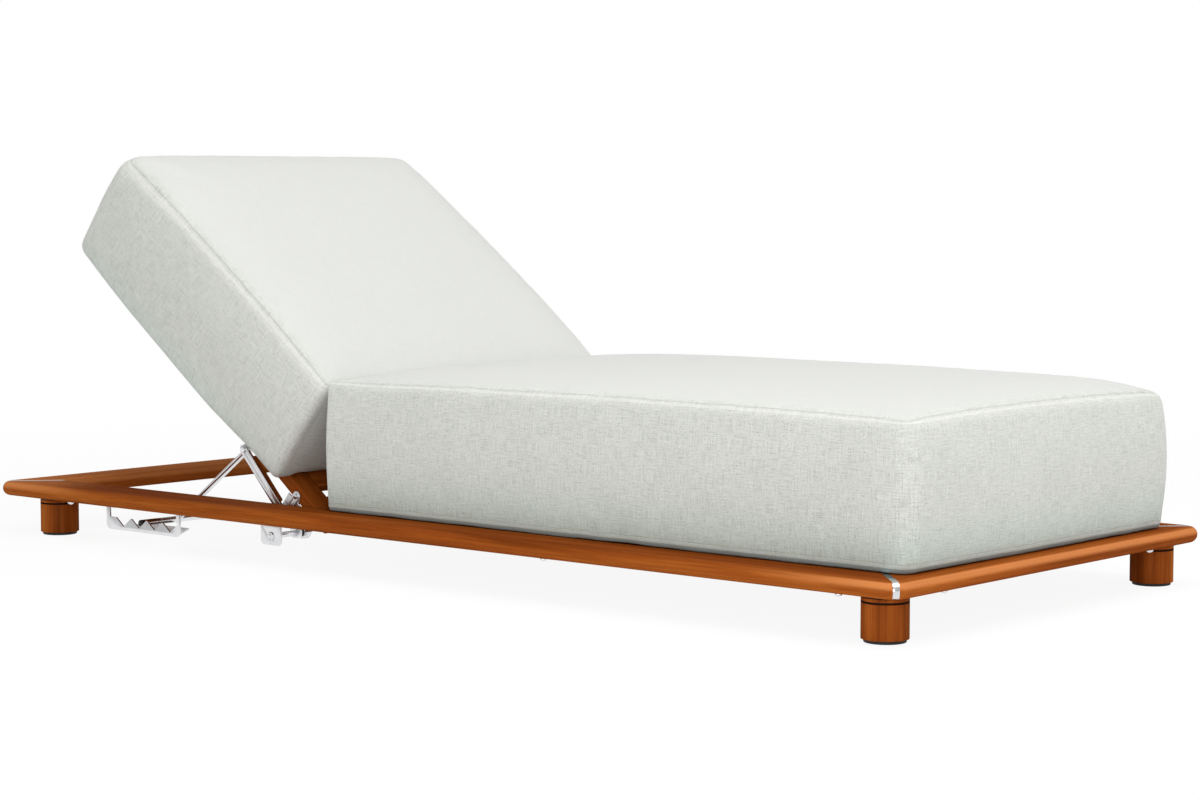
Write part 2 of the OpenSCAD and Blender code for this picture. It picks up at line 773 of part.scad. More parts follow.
module cushion(l, w, t, under_r, taper = 0) {
    a = l / 2;
    b = w / 2;
    r = cushion_edge_r;
    plan = rounded_plan(a, b, cushion_corner_r);
    n = len(plan);
    // Each level holds how far the sides are drawn in, and the share of the edge height
    round_steps = [0, 1, 2, 3];
    round_in = [for (i = round_steps) 1 - sin(90 * i / len(round_steps))];
    round_up = [for (i = round_steps) 1 - cos(90 * i / len(round_steps))];
    low = [for (i = round_steps) [for (p = plan)
        let (q = drawn(p, a, b, under_r * round_in[i] + cushion_draw))
        [q[0], q[1], under_r * round_up[i]]]];
    middle = [for (share = [1 / 3, 2 / 3]) [for (p = plan)
        let (q = drawn(p, a, b, cushion_draw * (1 - sin(180 * share))))
        [q[0], q[1], under_r + share * (top_z(q, a, b, t, taper) - r - under_r)]]];
    high = [for (i = [3, 2, 1, 0]) [for (p = plan) let (q = drawn(p, a, b, r * round_in[i] + cushion_draw))
        [q[0], q[1], top_z(q, a, b, t, taper) - r * round_up[i]]]];
    face = [for (share = face_shares) [for (p = plan) let (q = drawn(p, a, b, r + cushion_draw) * share)
        [q[0], q[1], top_z(q, a, b, t, taper)]]];
    under = [for (share = under_shares) [for (p = plan)
        let (q = drawn(p, a, b, under_r + cushion_draw) * share)
        [q[0], q[1], 0]]];
    rings = concat(under, low, middle, high, face);
    last = len(rings) - 1;
    points = concat([[0, 0, 0]], [for (ring = rings, p = ring) p], [[0, 0, top_z([0, 0], a, b, t, taper)]]);
    base = [for (i = [0 : n - 1]) [0, 1 + i, 1 + (i + 1) % n]];
    wall = [for (k = [0 : last - 1], i = [0 : n - 1], half = [0, 1])
        let (j = (i + 1) % n, p = 1 + k * n, q = p + n)
        half == 0 ? [p + i, q + i, p + j] : [p + j, q + i, q + j]];
    top = [for (i = [0 : n - 1]) [len(points) - 1, 1 + last * n + (i + 1) % n, 1 + last * n + i]];
    polyhedron(points, concat(base, wall, top));
}

module seat_cushion() {
    color(cloth) translate([(seat_foot_x + seat_rear_x) / 2, 0, deck_z + soft_gap])
        cushion(seat_cushion_l, cushion_w, seat_cushion_t, cushion_edge_r);
}

module back_cushion() {
    color(cloth) on_back() translate([back_cushion_s + back_cushion_l / 2, 0, panel_rise + soft_gap])
        cushion(back_cushion_l, cushion_w, back_cushion_t, back_under_r, back_cushion_taper);
}

side_rail_near();
side_rail_far();
foot_rail();
head_rail();
corner_inlays();
leg_foot_near();
leg_foot_far();
leg_head_near();
leg_head_far();
leg_spacers();
leg_screws();
leg_glides();
rail_cap_screws();
slat_ledgers();
seat_slats();
seat_cross_rail();
rack_near();
rack_far();
rack_screws();
hinge_bracket_near();
hinge_bracket_far();
bracket_screws();
hinge_bolt_near();
hinge_bolt_far();
hinge_nuts();
back_stile_near();
back_stile_far();
back_bottom_rail();
back_top_rail();
back_slats();
arm_near();
arm_far();
hinge_bushes();
arm_batten_near();
arm_batten_far();
heel_plate_near();
heel_plate_far();
knuckle_ears();
arm_bolts();
knuckle_pins();
bail();
bail_end_caps();
seat_cushion();
back_cushion();
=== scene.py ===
import json
import math

import bmesh
import bpy
import numpy as np
from mathutils import Matrix, Vector, noise


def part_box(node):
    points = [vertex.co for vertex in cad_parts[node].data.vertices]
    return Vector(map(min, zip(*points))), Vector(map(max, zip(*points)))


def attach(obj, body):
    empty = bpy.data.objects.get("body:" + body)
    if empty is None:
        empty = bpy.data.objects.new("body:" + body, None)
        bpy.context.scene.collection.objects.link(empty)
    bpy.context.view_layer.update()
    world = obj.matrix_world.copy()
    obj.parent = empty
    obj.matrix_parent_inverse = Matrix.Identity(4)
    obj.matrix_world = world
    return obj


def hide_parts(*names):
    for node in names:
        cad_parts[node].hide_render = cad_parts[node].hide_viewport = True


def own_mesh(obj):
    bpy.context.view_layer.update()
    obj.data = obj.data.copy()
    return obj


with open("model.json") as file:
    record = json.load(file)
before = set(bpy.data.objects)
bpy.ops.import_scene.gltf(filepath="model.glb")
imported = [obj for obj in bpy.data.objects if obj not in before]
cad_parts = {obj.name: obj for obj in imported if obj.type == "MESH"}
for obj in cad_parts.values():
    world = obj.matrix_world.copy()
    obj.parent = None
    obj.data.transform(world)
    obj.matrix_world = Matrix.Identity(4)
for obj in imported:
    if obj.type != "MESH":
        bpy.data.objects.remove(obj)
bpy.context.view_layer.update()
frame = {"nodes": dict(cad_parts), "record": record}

bodies = frame["record"]["behaviour"]["bodies"]
body_of_node = {node: body for body, nodes in bodies.items() for node in nodes}
MM = 0.001

# Colour of the painted highlight on the rails' upper shoulders at their ends
HIGHLIGHT_ORANGE = "E8985C"
# Dark brown of the line painted round the legs: the spacer ring's dark colour together with painted shade
# under the rail
RING_AND_SHADE_BROWN = "1C100A"
WARP_TONES = ("BDC0B5", "DFE0D8", "F0F0EB")
WEFT_TONES = ("B9C0BA", "DCDFD9", "EEF0EC")
WEAVE_PITCH = 3.1 * MM
STITCH_PITCH = 4.5 * MM
STITCH_ABOVE = 4.6 * MM
STITCH_BELOW = 3.8 * MM

# Camera of the photograph: its place, its degrees below level and round from +Y, and its lens in mm
CAMERA_PLACE = (3.31015, -3.71082, 0.67354)
CAMERA_DOWN = 4.5107
CAMERA_TURN = 40.868
CAMERA_LENS = 83.42
SENSOR_WIDTH = 36


def set_camera():
    data = bpy.data.cameras.new("photo_camera")
    data.sensor_width = SENSOR_WIDTH
    data.lens = CAMERA_LENS
    data.clip_end = 100
    camera = bpy.data.objects.new("photo_camera", data)
    camera.location = CAMERA_PLACE
    camera.rotation_euler = (math.radians(90 - CAMERA_DOWN), 0, math.radians(CAMERA_TURN))
    bpy.context.scene.collection.objects.link(camera)
    bpy.context.scene.camera = camera


# Node helpers
def linear(hex_colour):
    """An sRGB colour as the linear values that a shader reads."""
    parts = [int(hex_colour[i:i + 2], 16) / 255 for i in (0, 2, 4)]
    return tuple(p / 12.92 if p < 0.04045 else ((p + 0.055) / 1.055) ** 2.4 for p in parts) + (1.0,)


class Shader:
    """One material and the nodes that are added to it."""

    def __init__(self, name, **sockets):
        self.material = bpy.data.materials.new(name)
        self.material.use_nodes = True
        self.tree = self.material.node_tree
        self.surface = self.tree.nodes["Principled BSDF"]
        for socket, value in sockets.items():
            self.surface.inputs[socket.replace("_", " ")].default_value = value

    def add(self, kind, inputs=None, **settings):
        made = self.tree.nodes.new("ShaderNode" + kind)
        for key, value in settings.items():
            setattr(made, key, value)
        for key, value in (inputs or {}).items():
            if isinstance(value, bpy.types.NodeSocket):
                self.tree.links.new(value, made.inputs[key])
            else:
                made.inputs[key].default_value = value
        return made

    def math(self, operation, first, second=0.0, third=0.0):
        return self.add("Math", {0: first, 1: second, 2: third}, operation=operation).outputs[0]

    def ramp(self, factor, stops):
        made = self.add("ValToRGB", {"Fac": factor})
        bar = made.color_ramp.elements
        while len(bar) < len(stops):
            bar.new(0.5)
        for element, (place, colour) in zip(bar, stops):
            element.position = place
            element.color = colour
        return made.outputs["Color"]

    def mix(self, factor, first, second, blend="MIX"):
        made = self.add("Mix", {0: factor, 6: first, 7: second}, data_type="RGBA", blend_type=blend)
        return made.outputs[2]

    def span(self, value, low, high, to_low=0.0, to_high=1.0, smooth=True):
        """Maps low..high to to_low..to_high and stays level beyond both."""
        made = self.add("MapRange", {0: value, 1: low, 2: high, 3: to_low, 4: to_high})
        made.interpolation_type = "SMOOTHSTEP" if smooth else "LINEAR"
        return made.outputs[0]

    def noise(self, vector, scale, detail=3.0, rough=0.5, distortion=0.0):
        sockets = {"Vector": vector, "Scale": scale, "Detail": detail, "Roughness": rough,
                   "Distortion": distortion}
        return self.add("TexNoise", sockets).outputs["Fac"]

    def mapped(self, vector, scale=(1, 1, 1), turn=(0, 0, 0), shift=(0, 0, 0)):
        sockets = {"Vector": vector, "Scale": scale, "Rotation": turn, "Location": shift}
        return self.add("Mapping", sockets).outputs["Vector"]

    def object_place(self):
        return self.add("TexCoord").outputs["Object"]

    def feed(self, socket, value):
        self.tree.links.new(value, self.surface.inputs[socket])

    def bump(self, height, distance, strength=1.0):
        made = self.add("Bump", {"Height": height, "Distance": distance, "Strength": strength})
        self.feed("Normal", made.outputs["Normal"])


def grey(level):
    return (level, level, level, 1)


WHITE = grey(1)


def painted_rail_light(s, colour, parts, top, pore):
    """Painted shade darkens the rail's top beside the cushions, and a painted highlight lightens the upper
    shoulder at the rail's ends.
    """
    highlit_ends = s.span(s.math("ABSOLUTE", parts["X"]), 0.74, 1.04)
    beside = s.span(parts["X"], -0.92, -0.76, 0.3, 1.0)
    # Painted shade on the rail's top, strongest beside the cushions
    dark = s.math("MULTIPLY", s.span(parts["Z"], top - 10 * MM, top - 0.5 * MM, 0, 0.35), beside)
    colour = s.mix(dark, colour, pore)
    on_flat = s.math("SUBTRACT", 1.0, beside)
    # Painted highlight on the rail's upper shoulder towards its ends
    shoulder = s.math("MULTIPLY", s.span(parts["Z"], top - 15 * MM, top - 7 * MM, 0, 0.5),
                      s.span(parts["Z"], top - 0.6 * MM, top - 3 * MM, on_flat))
    return s.mix(s.math("MULTIPLY", shoulder, highlit_ends), colour, linear(HIGHLIGHT_ORANGE))


# Oiled teak with its grain along the piece's own length
def teak(name, turn, tones, shift=(0, 0, 0), painted_light_top=None, line_at=None):
    """Tones: dark streak, low, middle and pale wood, pore. The height of a rail's top, when given, adds
    painted shade on that top and a painted highlight on the rail's shoulder.
    """
    s = Shader(name, Specular_IOR_Level=0.0, Coat_Weight=0.05, Coat_Roughness=0.38)
    place = s.mapped(s.object_place(), turn=turn, shift=shift)
    warp = s.noise(s.mapped(place, scale=(0.9, 4, 4)), 1.4, 2)
    sideways = s.add("CombineXYZ", {"Y": s.math("MULTIPLY", warp, 0.03)}).outputs[0]
    bent = s.add("VectorMath", {0: place, 1: sideways}, operation="ADD").outputs[0]
    figure = s.noise(s.mapped(bent, scale=(1.5, 34, 34)), 1.0, 5, 0.6, 0.25)
    streaks = s.noise(s.mapped(bent, scale=(3.2, 170, 170)), 1.0, 4, 0.62)
    pores = s.noise(s.mapped(bent, scale=(16, 900, 900)), 1.0, 2, 0.5)
    dark, low, middle, pale, pore = [linear(tone) for tone in tones]
    colour = s.ramp(figure, [(0.28, dark), (0.46, low), (0.56, middle), (0.74, pale)])
    colour = s.mix(s.span(streaks, 0.52, 0.68, 0, 0.55), colour, dark)
    colour = s.mix(s.span(streaks, 0.46, 0.32, 0, 0.3), colour, pale)
    colour = s.mix(s.span(pores, 0.58, 0.7, 0, 0.35), colour, pore)
    broad = s.noise(s.mapped(place, scale=(0.8, 3, 3)), 1.7, 2)
    colour = s.mix(1.0, colour, s.ramp(broad, [(0.3, grey(0.88)), (0.7, grey(1.0))]), "MULTIPLY")
    parts = s.add("SeparateXYZ", {0: s.object_place()}).outputs
    # Painted shade and a painted highlight for a rail whose top height is given
    if painted_light_top:
        colour = painted_rail_light(s, colour, parts, painted_light_top, pore)
    # A dark line painted round the leg: partly the black spacer ring's colour, partly painted shade under
    # the rail
    if line_at:
        gap = s.math("ABSOLUTE", s.math("SUBTRACT", parts["Z"], line_at))
        colour = s.mix(s.span(gap, 2.2 * MM, 1.2 * MM), colour, linear(RING_AND_SHADE_BROWN))
    s.feed("Base Color", colour)
    s.feed("Roughness", s.span(streaks, 0.3, 0.7, 0.48, 0.62, False))
    s.bump(s.math("ADD", s.math("MULTIPLY", streaks, 0.6), s.math("MULTIPLY", pores, 0.5)), 0.00025, 0.6)
    return s.material


# Polished stainless steel with faint handling marks
def polished_steel(name, lay, rough=0.16):
    s = Shader(name, Base_Color=grey(0.82), Metallic=1.0)
    place = s.object_place()
    drawn = s.noise(s.mapped(place, scale=lay), 1.0, 3, 0.6)
    cloud = s.noise(place, 38, 3, 0.55)
    s.feed("Base Color", s.ramp(cloud, [(0.3, (0.70, 0.705, 0.72, 1)), (0.7, (0.84, 0.84, 0.85, 1))]))
    s.feed("Roughness", s.math("ADD", s.span(cloud, 0.3, 0.75, rough - 0.05, rough + 0.08, False),
                               s.math("MULTIPLY", drawn, 0.06)))
    s.bump(drawn, 0.00006, 0.5)
    return s.material


# Moulded black plastic and rubber
def black_moulded(name, level, rough, grain):
    s = Shader(name, Specular_IOR_Level=0.4)
    place = s.object_place()
    speckle = s.noise(place, grain, 2, 0.5)
    s.feed("Base Color", s.ramp(speckle, [(0.3, grey(level * 0.7)), (0.7, grey(level * 1.3))]))
    s.feed("Roughness", s.span(speckle, 0.3, 0.7, rough - 0.06, rough + 0.08, False))
    s.bump(speckle, 0.0001, 0.4)
    return s.material


def woven(s, net, weave):
    """Colour of two melange yarns that pass over and under each other, and the noise of both yarns."""
    warp_yarn = s.noise(s.mapped(net, scale=(620, 34, 1)), 1.0, 3, 0.65)
    weft_yarn = s.noise(s.mapped(net, scale=(34, 620, 1)), 1.0, 3, 0.65)
    dyed = []
    for melange, tones in ((warp_yarn, WARP_TONES), (weft_yarn, WEFT_TONES)):
        stops = [(place, linear(tone)) for place, tone in zip((0.32, 0.5, 0.68), tones)]
        dyed.append(s.ramp(melange, stops))
    yarn = s.mix(s.span(weave, -0.25, 0.25), *dyed)
    # The hollows between the yarns are darkened: painted shade
    hollow = s.span(s.math("ABSOLUTE", weave), 0.0, 0.4, 0.76, 1.0)
    dip = s.add("CombineColor", {0: hollow, 1: hollow, 2: hollow}).outputs[0]
    colour = s.mix(1.0, yarn, dip, "MULTIPLY")
    brown = s.noise(s.mapped(net, scale=(240, 420, 1)), 1.0, 1, 0.5)
    blue = s.noise(s.mapped(net, scale=(430, 250, 1), shift=(7, 3, 0)), 1.0, 1, 0.5)
    colour = s.mix(s.span(brown, 0.62, 0.72, 0, 0.5), colour, linear("A3957A"))
    colour = s.mix(s.span(blue, 0.62, 0.72, 0, 0.45), colour, linear("93A3A8"))
    shade = s.noise(s.mapped(net, scale=(9, 9, 1)), 1.0, 3)
    tint = s.ramp(shade, [(0.3, grey(0.955)), (0.7, grey(1.0))])
    return s.mix(1.0, colour, tint, "MULTIPLY"), s.math("ADD", warp_yarn, weft_yarn)


def stitch_rows(s, seam, low, run):
    """A broken row of stitch holes beside each of the two seams."""
    above = s.math("ABSOLUTE", s.math("SUBTRACT", seam, STITCH_ABOVE))
    beside = s.math("ABSOLUTE", s.math("SUBTRACT", low, STITCH_BELOW))
    row = s.span(s.math("MINIMUM", above, beside), 1.2 * MM, 0.4 * MM)
    along = s.math("SINE", s.math("MULTIPLY", run, 2 * math.pi / STITCH_PITCH))
    return s.math("MULTIPLY", row, s.span(along, -0.5, 0.1, 0.3, 1.0))


# Melange cover cloth: a thick plain weave on the cushion's own net, with seams painted from its attributes
def cover_cloth(name):
    s = Shader(name, Sheen_Weight=0.25, Sheen_Roughness=0.5, Specular_IOR_Level=0.2)
    net = s.add("UVMap", uv_map="net").outputs["UV"]
    u, v = s.add("SeparateXYZ", {0: net}).outputs[:2]
    seam = s.add("Attribute", attribute_name="seam_off").outputs["Fac"]
    low = s.add("Attribute", attribute_name="low_off").outputs["Fac"]
    waver = s.noise(s.mapped(net, scale=(60, 60, 1)), 1.0, 2)
    turn = 2 * math.pi / WEAVE_PITCH
    turn_u = s.math("ADD", s.math("MULTIPLY", u, turn), s.math("MULTIPLY", waver, 1.6))
    turn_v = s.math("ADD", s.math("MULTIPLY", v, turn), s.math("MULTIPLY", waver, 1.2))
    weave = s.math("MULTIPLY", s.math("SINE", turn_u), s.math("SINE", turn_v))
    colour, yarns = woven(s, net, weave)
    # Painted light: the upper panel's yarn colours are blended toward an even grey, so its yarns show
    # less, standing in for the strong overhead light that flattens its weave
    colour = s.mix(s.span(seam, 2 * MM, 20 * MM, 0.0, 0.8), colour, linear("D2D3D0"))
    # Painted light: near the wood the cloth is tinted cooler, cancelling the warm light bounced off the
    # teak
    colour = s.mix(s.span(low, 90 * MM, 0.0, 0, 0.8), colour, (0.87, 1.0, 0.97, 1), "MULTIPLY")
    # The seam fold catches light, and its stitch holes run just above it
    fold = s.span(s.math("ABSOLUTE", seam), 2.6 * MM, 1.2 * MM)
    colour = s.mix(s.math("MULTIPLY", fold, 0.35), colour, linear("ECECE6"))
    stitch = stitch_rows(s, seam, low, s.math("ADD", u, v))
    colour = s.mix(s.math("MULTIPLY", stitch, 0.38), colour, linear("8E928A"))
    # Below the lower seam the cloth is painted a darker, cooler grey: painted shade where the cushion
    # meets the wood, tinted against the warm light bounced off the teak
    grain = s.noise(s.mapped(net, scale=(500, 500, 1)), 1.0, 2)
    base = s.ramp(grain, [(0.35, linear("8FA3A2")), (0.65, linear("A6B6B4"))])
    colour = s.mix(s.span(low, -2.2 * MM, -3.0 * MM), colour, base)
    # The lower seam fold gets a painted highlight
    low_fold = s.span(s.math("ABSOLUTE", low), 2.4 * MM, 1.2 * MM)
    colour = s.mix(s.math("MULTIPLY", low_fold, 0.45), colour, linear("D3DCD6"))
    s.feed("Base Color", colour)
    s.feed("Roughness", s.span(weave, -1, 1, 0.94, 0.8, False))
    relief = s.math("ADD", s.math("ABSOLUTE", weave), s.math("MULTIPLY", yarns, 0.55))
    s.bump(s.math("SUBTRACT", relief, s.math("MULTIPLY", stitch, 1.4)), 0.7 * MM, 0.55)
    return s.material


# Steel, wood and plastic pieces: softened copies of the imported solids
def copy_of(node):
    mesh = bmesh.new()
    mesh.from_mesh(frame["nodes"][node].data)
    bmesh.ops.remove_doubles(mesh, verts=mesh.verts, dist=0.002 * MM)
    bmesh.ops.dissolve_degenerate(mesh, edges=mesh.edges, dist=0.001 * MM)
    return mesh


def sharp_edges(mesh, least):
    return [e for e in mesh.edges if e.is_manifold and e.calc_face_angle(0) > math.radians(least)]


def finished(mesh, name, body, material, replaced=(), crease=40):
    for face in mesh.faces:
        face.smooth = True
    for edge in sharp_edges(mesh, crease):
        edge.smooth = False
    data = bpy.data.meshes.new(name)
    mesh.to_mesh(data)
    mesh.free()
    data.materials.append(material)
    piece = bpy.data.objects.new(name, data)
    bpy.context.scene.collection.objects.link(piece)
    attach(piece, body)
    if replaced:
        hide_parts(*replaced)
    return piece


def eased(node, material, width, segments=2, least=32):
    """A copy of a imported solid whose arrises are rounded, as sanding or tumbling leaves them."""
    mesh = copy_of(node)
    bmesh.ops.dissolve_limit(mesh, angle_limit=math.radians(0.6), verts=mesh.verts, edges=mesh.edges)
    bmesh.ops.bevel(mesh, geom=sharp_edges(mesh, least), offset=width, segments=segments, profile=0.5,
                    affect="EDGES", clamp_overlap=True, material=-1)
    return finished(mesh, node + "_eased", body_of_node[node], material, [node])


# The cushions are shaped lying flat, then set in place
TINY = 1e-9
FLAT = 0.001 * MM
BASE_NET_SHIFT = 3
CLOTH_FRAMES = 20
CLOTH_SHARE = 0.22


def steps(value, low, high):
    share = np.clip((value - low) / (high - low), 0, 1)
    return share * share * (3 - 2 * share)


def packed(value, ends):
    """Moves even grid steps towards both ends, where the edges need more of them."""
    left = 1 - np.abs(value)
    return np.sign(value) * (1 - left * (ends + (1 - ends) * left))


class Cushion:
    """A boxed cushion: its grid, its filled shape, and the sewn lines round it.

    It lies flat with its length on x. Sizes are in metres:
    cuts      grid steps on each axis
    bulges    how far the +x end, the -x end and the sides stand out at half height
    crown     rise of the filled upper face, and bow the slight rise of the whole cushion
    top_r     radius of the upper edge at the -x end, the middle and the +x end; low_r of the lower edge
    corner_r  radius of the upright corners at the -x end and the +x end
    seam_in   pull inwards at the top and the base, for the +x end, the -x end and the sides
    low_seam  height of the lower seam
    fullness  how close to the +x end, the -x end and the sides the crown stays full
    taper     loss of thickness towards the +x end
    droop     how far the side edges hang, where that starts from the middle, and up to which height
    tight_corner  share by which the upper edge is sharper at the corners of the -x end
    """

    def __init__(self, length, width, thick, cuts, bulges, crown, bow, top_r, low_r, corner_r, seam_in,
                 low_seam, fullness, taper=0.0, droop=None, tight_corner=0.0):
        self.a, self.b, self.t = length / 2, width / 2, thick
        self.bulges, self.crown, self.bow, self.taper = bulges, crown, bow, taper
        self.seam_in, self.low_seam, self.droop, self.fullness = seam_in, low_seam, droop, fullness
        mesh = bmesh.new()
        bmesh.ops.create_cube(mesh, size=2)
        for axis, count in enumerate(cuts):
            along = [e for e in mesh.edges if abs((e.verts[0].co - e.verts[1].co)[axis]) > 1e-4]
            bmesh.ops.subdivide_edges(mesh, edges=along, cuts=count, use_grid_fill=True)
        mesh.verts.ensure_lookup_table()
        grid = np.array([v.co for v in mesh.verts])
        self.mesh = mesh
        self.x = self.a * packed(grid[:, 0], 0.2)
        self.y = self.b * packed(grid[:, 1], 0.24)
        self.z = self.t * (packed(grid[:, 2], 0.3) + 1) / 2
        self.top_r, self.low_r = self.along(top_r), self.along(low_r)
        rear = 1 - steps(self.x, 0.02 - self.a, 0.12 - self.a)
        beside = steps(np.abs(self.y), self.b - 0.085, self.b - 0.02)
        self.top_r = self.top_r * (1 - tight_corner * rear * beside)
        self.corner_r = np.where(self.x > 0, corner_r[1], corner_r[0])

    def along(self, values):
        """Runs from the value of one end through that of the middle to that of the other end."""
        first, middle, last = values
        run = 0.19
        to_first = 1 - steps(self.x, 0.05 - self.a, 0.05 - self.a + run)
        to_last = steps(self.x, self.a - 0.03 - run, self.a - 0.03)
        return middle + (first - middle) * to_first + (last - middle) * to_last

    def shape(self, swell):
        """Places of all grid points; swell 0 is the slack cover and 1 the filled one."""
        a, b, t, r = self.a, self.b, self.t, self.corner_r
        cx, cy = np.clip(self.x, r - a, a - r), np.clip(self.y, r - b, b - r)
        dx, dy = self.x - cx, self.y - cy
        size = np.hypot(dx, dy)
        # Upright corners: the square grid is drawn in to a quarter circle
        pull = np.where(size > 0, np.maximum(np.abs(dx), np.abs(dy)) / np.maximum(size, TINY), 1)
        qx, qy = cx + dx * pull, cy + dy * pull
        inset = np.minimum(a - np.abs(self.x), b - np.abs(self.y))
        corner = (np.abs(dx) > 0) & (np.abs(dy) > 0)
        end_first = (a - np.abs(self.x)) < (b - np.abs(self.y))
        nx = np.where(corner, dx, np.where(end_first, np.sign(self.x), 0))
        ny = np.where(corner, dy, np.where(end_first, 0, np.sign(self.y)))
        length = np.maximum(np.hypot(nx, ny), TINY)
        nx, ny = nx / length, ny / length
        depth, rise = t - self.z, self.z.copy()
        # Upper and lower edges are rounded in the same way
        move = np.zeros_like(inset)
        for radius, drop, top in ((self.top_r, depth, True), (self.low_r, rise, False)):
            ds, dz = radius - inset, radius - drop
            both = (ds > 0) & (dz > 0)
            fit = np.where(both, np.maximum(ds, dz) / np.maximum(np.hypot(ds, dz), TINY), 1)
            move += np.where(both, ds - ds * fit, 0)
            shift = np.where(both, dz - dz * fit, 0)
            rise = rise - shift if top else rise + shift
        height = rise / t
        side = 1 - steps(inset, 0, 0.03)
        bulge = np.where(qx > 0, self.bulges[0], self.bulges[1]) * nx * nx + self.bulges[2] * ny * ny
        belly = np.sin(np.pi * np.clip(height, 0, 1)) ** 0.8
        # The sewn edges pull in most at mid length, and the panel between them stands out
        end = np.where((qx > 0)[:, None], self.seam_in[0], self.seam_in[1])
        hold = (end[:, 0] * height + end[:, 1] * (1 - height)) * nx * nx
        hold = hold + (self.seam_in[2][0] * height + self.seam_in[2][1] * (1 - height)) * ny * ny
        mid_side, mid_end = (1 - (qx / a) ** 2) * ny * ny, (1 - (qy / b) ** 2) * nx * nx
        pulled = hold * (0.7 + 0.3 * (mid_side + mid_end))
        out = side * (belly * (bulge * swell + pulled) - pulled) - move
        px, py = qx + nx * out, qy + ny * out
        ex, ey = np.clip(np.abs(qx / a), 0, 1), np.clip(np.abs(qy / b), 0, 1)
        lengthways = np.where(qx > 0, self.fullness[0], self.fullness[1])
        crowned = (1 - ex ** lengthways) * (1 - ey ** self.fullness[2])
        over = self.bow * (2 - ex ** 2 - ey ** 2) + self.crown * swell * crowned
        over = over - self.taper * (qx / a + 1) / 2
        pz = rise * (t + over) / t
        if self.droop:
            hang, start, full = self.droop
            beside = steps(np.abs(qy), start, start + 0.012)
            along = 0.4 + 0.6 * np.clip((qx + a - 0.1) / 0.5, 0, 1)
            pz = pz - hang * beside * along * (1 - steps(height, 0, full))
        return np.column_stack([px, py, pz])

    def sewn(self):
        """Signed distance of each point from the upper and from the lower seam, along the cover."""
        inset = np.minimum(self.a - np.abs(self.x), self.b - np.abs(self.y))
        on_top = self.z > self.t - FLAT
        on_base = self.z < FLAT
        quarter = math.pi / 4
        depth, r, low_r = self.t - self.z, self.top_r, self.low_r
        over_edge = quarter * np.minimum(inset, r) + np.maximum(inset - r, 0)
        down_side = quarter * np.minimum(depth, r) + np.maximum(depth - r, 0)
        upper = np.where(on_top, over_edge, -down_side)
        under_edge = quarter * (low_r + np.minimum(inset, low_r)) + np.maximum(inset - low_r, 0)
        up_side = np.where(self.z < low_r, quarter * (self.z - low_r), self.z - low_r)
        lower = np.where(on_base, -under_edge, up_side)
        return upper, lower + low_r - self.low_seam

    def lay_net(self):
        """UVs of the unrolled cover, in metres, so that the weave runs on over each edge."""
        layer = self.mesh.loops.layers.uv.new("net")
        self.mesh.verts.index_update()
        for face in self.mesh.faces:
            ids = [v.index for v in face.verts]
            x, y, z = (float(np.mean(c[ids])) for c in (self.x, self.y, self.z))
            gaps = {"end": self.a - abs(x), "side": self.b - abs(y), "flat": min(z, self.t - z)}
            panel = min(gaps, key=gaps.get)
            for loop in face.loops:
                i = loop.vert.index
                px, py, pz = self.x[i], self.y[i], self.z[i]
                if panel == "side":
                    py = math.copysign(self.b + self.t - pz, y)
                elif panel == "end":
                    px = math.copysign(self.a + self.t - pz, x)
                elif z < self.t / 2:
                    py = py + BASE_NET_SHIFT
                loop[layer].uv = (px, py)

    def inflate(self, name, limit):
        """Blows the slack cover up as cloth and holds each point near where it started."""
        start = self.shape(0.55)
        upper, lower = self.sewn()
        self.mesh.verts.ensure_lookup_table()
        for vert, place in zip(self.mesh.verts, start):
            vert.co = place
        self.lay_net()
        bmesh.ops.recalc_face_normals(self.mesh, faces=self.mesh.faces)
        data = bpy.data.meshes.new(name)
        self.mesh.to_mesh(data)
        self.mesh.free()
        piece = bpy.data.objects.new(name, data)
        bpy.context.scene.collection.objects.link(piece)
        filled = self.shape(1.0)
        held = (np.abs(upper) < 2.2 * MM) | (np.abs(lower) < 3 * MM) | (self.z < FLAT)
        moved = blown_up(piece, held) - start
        far = np.maximum(np.linalg.norm(moved, axis=1), TINY)
        kept = moved * (limit * np.tanh(far / limit) / far)[:, None]
        loose = np.clip(np.minimum(np.abs(upper), np.abs(lower)) / 0.02, 0, 1)[:, None]
        filled = filled + (start + kept - filled) * CLOTH_SHARE * loose
        data.vertices.foreach_set("co", filled.ravel())
        for label, values in (("seam_off", upper), ("low_off", lower)):
            data.attributes.new(label, "FLOAT", "POINT").data.foreach_set("value", values)
        data.update()
        return piece


def blown_up(piece, held):
    """Places of a cover's points after air pressure has filled it, with the sewn points held."""
    group = piece.vertex_groups.new(name="sewn")
    group.add([int(i) for i in np.nonzero(held)[0]], 1.0, "REPLACE")
    cloth = piece.modifiers.new("cloth", "CLOTH")
    rules = cloth.settings
    rules.quality = 5
    rules.mass = 0.4
    rules.tension_stiffness = rules.compression_stiffness = 25
    rules.shear_stiffness = 12
    rules.bending_stiffness = 4
    rules.use_pressure = True
    rules.uniform_pressure_force = 4
    rules.vertex_group_mass = "sewn"
    rules.effector_weights.gravity = 0
    cloth.collision_settings.use_collision = False
    cloth.collision_settings.use_self_collision = False
    for moment in range(1, CLOTH_FRAMES + 1):
        bpy.context.scene.frame_set(moment)
    blown = piece.evaluated_get(bpy.context.evaluated_depsgraph_get()).data
    places = np.array([v.co for v in blown.vertices])
    piece.modifiers.remove(cloth)
    piece.vertex_groups.clear()
    bpy.context.scene.frame_set(1)
    return places


